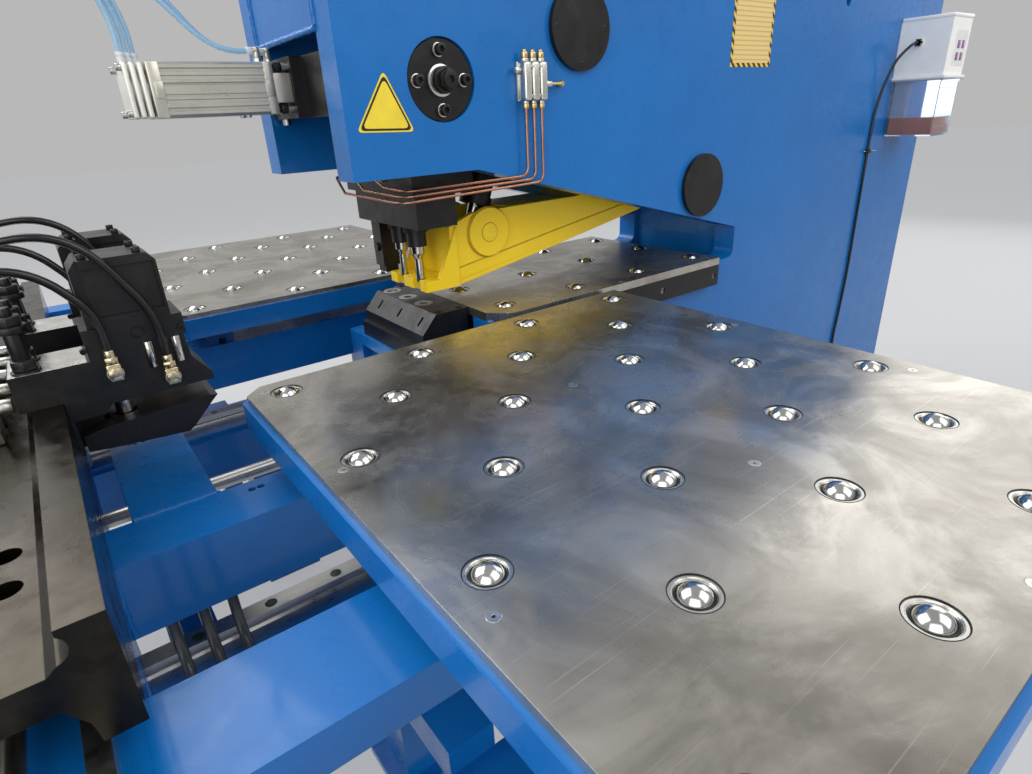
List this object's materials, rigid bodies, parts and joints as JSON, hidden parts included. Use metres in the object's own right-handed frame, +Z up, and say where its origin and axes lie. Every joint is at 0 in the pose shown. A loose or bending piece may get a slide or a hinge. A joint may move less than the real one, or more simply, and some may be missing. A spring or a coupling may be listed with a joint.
{
  "type": "C-frame plate punching machine",
  "caption": "Hydraulic C-frame plate punching machine: in-line punch stations, yellow stripper arm, ball transfer tables and a cross-travelling bar with two clamps.",
  "frame": {"origin": "centre of the four foundation anchor holes, on the floor", "axes": "+Z up; +X from the open throat towards the back of the C frame; +Y across the throat, away from the side that carries the lubricator"},
  "size_m": [3.55, 2.776, 1.95],
  "materials": {
    "blue_enamel": "gloss",
    "yellow_paint": "gloss",
    "black_oxide": "satin",
    "ground_steel": "brushed",
    "bright_steel": "satin",
    "chrome": "polished",
    "zinc": "satin",
    "anodised": "satin",
    "copper": "satin",
    "brass": "satin",
    "white_plastic": "matte",
    "clear_tank": "clear",
    "light_blue_hose": "gloss",
    "black_hose": "gloss",
    "oily_steel": "oiled"
  },
  "bodies": {
    "frame": {"side_plates": "blue_enamel", "cross_plates": "blue_enamel", "side_covers": "black_oxide", "guide_block": "black_oxide", "main_cylinder": "black_oxide", "return_springs": "bright_steel", "selector_barrel": "anodised", "selector_caps": "anodised", "selector_mount": "black_oxide", "valve_block": "anodised", "air_hoses": "light_blue_hose", "distributor": "zinc", "grease_pipes": "copper", "pipe_fittings": "brass", "lubricator_housing": "white_plastic", "lubricator_tank": "clear_tank", "lubricator_cable": "black_hose", "die_bolster": "black_oxide", "die_block": "black_oxide", "dies": "bright_steel", "throat_table": "ground_steel", "throat_bars": "black_oxide", "throat_cups": "zinc", "throat_balls": "chrome", "feed_beams": "blue_enamel", "feed_cross": "blue_enamel", "base_rails": "bright_steel", "saddle_motor": "black_oxide", "fastenings": "bright_steel"},
    "ram": {"ram": "bright_steel"},
    "gag": {"selector_gag": "bright_steel"},
    "selector_rod": {"selector_rod": "chrome"},
    "punch_near": {"punch_holder_near": "black_oxide", "punch_near": "chrome"},
    "punch_middle": {"punch_holder_middle": "black_oxide", "punch_middle": "chrome"},
    "stamp": {"stamp_unit": "black_oxide"},
    "stripper_arm": {"stripper_arm": "yellow_paint", "clevis_pin": "yellow_paint"},
    "stripper_cylinder": {"stripper_cylinder": "black_oxide"},
    "stripper_rod": {"stripper_rod": "chrome"},
    "saddle": {"saddle": "blue_enamel", "saddle_arms": "blue_enamel", "feed_hoses": "black_hose", "side_tables": "ground_steel", "table_frames": "blue_enamel", "side_cups": "zinc", "side_balls": "chrome", "side_screws": "zinc", "bar_rails": "bright_steel", "bar_motor": "black_oxide"},
    "saddle_screw": {"saddle_screw": "bright_steel"},
    "bar_screw": {"bar_screw": "bright_steel"},
    "carriage": {"clamp_bar": "oily_steel", "clamp_bodies": "black_oxide", "clamp_hoses": "black_hose"},
    "jaw_near": {"jaw_near": "black_oxide"},
    "jaw_far": {"jaw_far": "black_oxide"},
    "jaw_piston_near": {"jaw_piston_near": "chrome"},
    "jaw_piston_far": {"jaw_piston_far": "chrome"}
  },
  "joints": [
    {"name": "saddle_slide", "type": "slide", "parent": "frame", "child": "saddle", "axis": [1, 0, 0], "range_m": [-0.3, 0.42]},
    {"name": "bar_slide", "type": "slide", "parent": "saddle", "child": "carriage", "axis": [0, 1, 0], "range_m": [-0.45, 0.45]},
    {"name": "saddle_screw_spin", "type": "hinge", "parent": "frame", "child": "saddle_screw", "pos_m": [-1.6, 0, 0.59], "axis": [1, 0, 0], "continuous": true},
    {"name": "bar_screw_spin", "type": "hinge", "parent": "saddle", "child": "bar_screw", "pos_m": [-1.8025, 0, 0.801], "axis": [0, 1, 0], "continuous": true},
    {"name": "jaw_near_hinge", "type": "hinge", "parent": "carriage", "child": "jaw_near", "pos_m": [-1.671, -0.235, 0.878], "axis": [0, -1, 0], "range_deg": [0, 7]},
    {"name": "jaw_far_hinge", "type": "hinge", "parent": "carriage", "child": "jaw_far", "pos_m": [-1.671, 0.015, 0.878], "axis": [0, -1, 0], "range_deg": [0, 7]},
    {"name": "jaw_piston_near_slide", "type": "slide", "parent": "carriage", "child": "jaw_piston_near", "axis": [0, 0, 1], "range_m": [0, 0.0064]},
    {"name": "jaw_piston_far_slide", "type": "slide", "parent": "carriage", "child": "jaw_piston_far", "axis": [0, 0, 1], "range_m": [0, 0.0064]},
    {"name": "ram_slide", "type": "slide", "parent": "frame", "child": "ram", "axis": [0, 0, 1], "range_m": [-0.057, 0]},
    {"name": "gag_slide", "type": "slide", "parent": "ram", "child": "gag", "axis": [1, 0, 0], "range_m": [-0.11, 0]},
    {"name": "selector_rod_slide", "type": "slide", "parent": "frame", "child": "selector_rod", "axis": [1, 0, 0], "range_m": [-0.11, 0]},
    {"name": "punch_near_slide", "type": "slide", "parent": "frame", "child": "punch_near", "axis": [0, 0, 1], "range_m": [-0.057, 0], "deforming": ["return_springs"]},
    {"name": "punch_middle_slide", "type": "slide", "parent": "frame", "child": "punch_middle", "axis": [0, 0, 1], "range_m": [-0.057, 0], "stiffness_N_per_m": 3000, "springref_m": 0.03, "deforming": ["return_springs"]},
    {"name": "stamp_slide", "type": "slide", "parent": "frame", "child": "stamp", "axis": [0, 0, 1], "range_m": [-0.05, 0], "stiffness_N_per_m": 3000, "springref_m": 0.03, "deforming": ["return_springs"]},
    {"name": "arm_hinge", "type": "hinge", "parent": "frame", "child": "stripper_arm", "pos_m": [-0.156, 0, 1.108], "axis": [0, 1, 0], "range_deg": [-2, 1.5]},
    {"name": "stripper_cylinder_hinge", "type": "hinge", "parent": "frame", "child": "stripper_cylinder", "pos_m": [-0.613, 0, 1.475], "axis": [0, 1, 0], "range_deg": [-1.4, 1.1]},
    {"name": "stripper_rod_slide", "type": "slide", "parent": "stripper_cylinder", "child": "stripper_rod", "axis": [-0.3615, 0, -0.9324], "range_m": [-0.016, 0.021]}
  ],
  "couplings": [
    {"joint": "saddle_screw_spin", "follows": "saddle_slide", "rad_per_m": 314.16},
    {"joint": "bar_screw_spin", "follows": "bar_slide", "rad_per_m": 314.16},
    {"joint": "jaw_piston_near_slide", "follows": "jaw_near_hinge", "m_per_rad": 0.051},
    {"joint": "jaw_piston_far_slide", "follows": "jaw_far_hinge", "m_per_rad": 0.051},
    {"joint": "selector_rod_slide", "follows": "gag_slide", "ratio": 1},
    {"joint": "punch_near_slide", "follows": "ram_slide", "ratio": 1},
    {"joint": "stripper_cylinder_hinge", "follows": "arm_hinge", "ratio": 0.61},
    {"joint": "stripper_rod_slide", "follows": "arm_hinge", "m_per_rad": -0.5587}
  ]
}
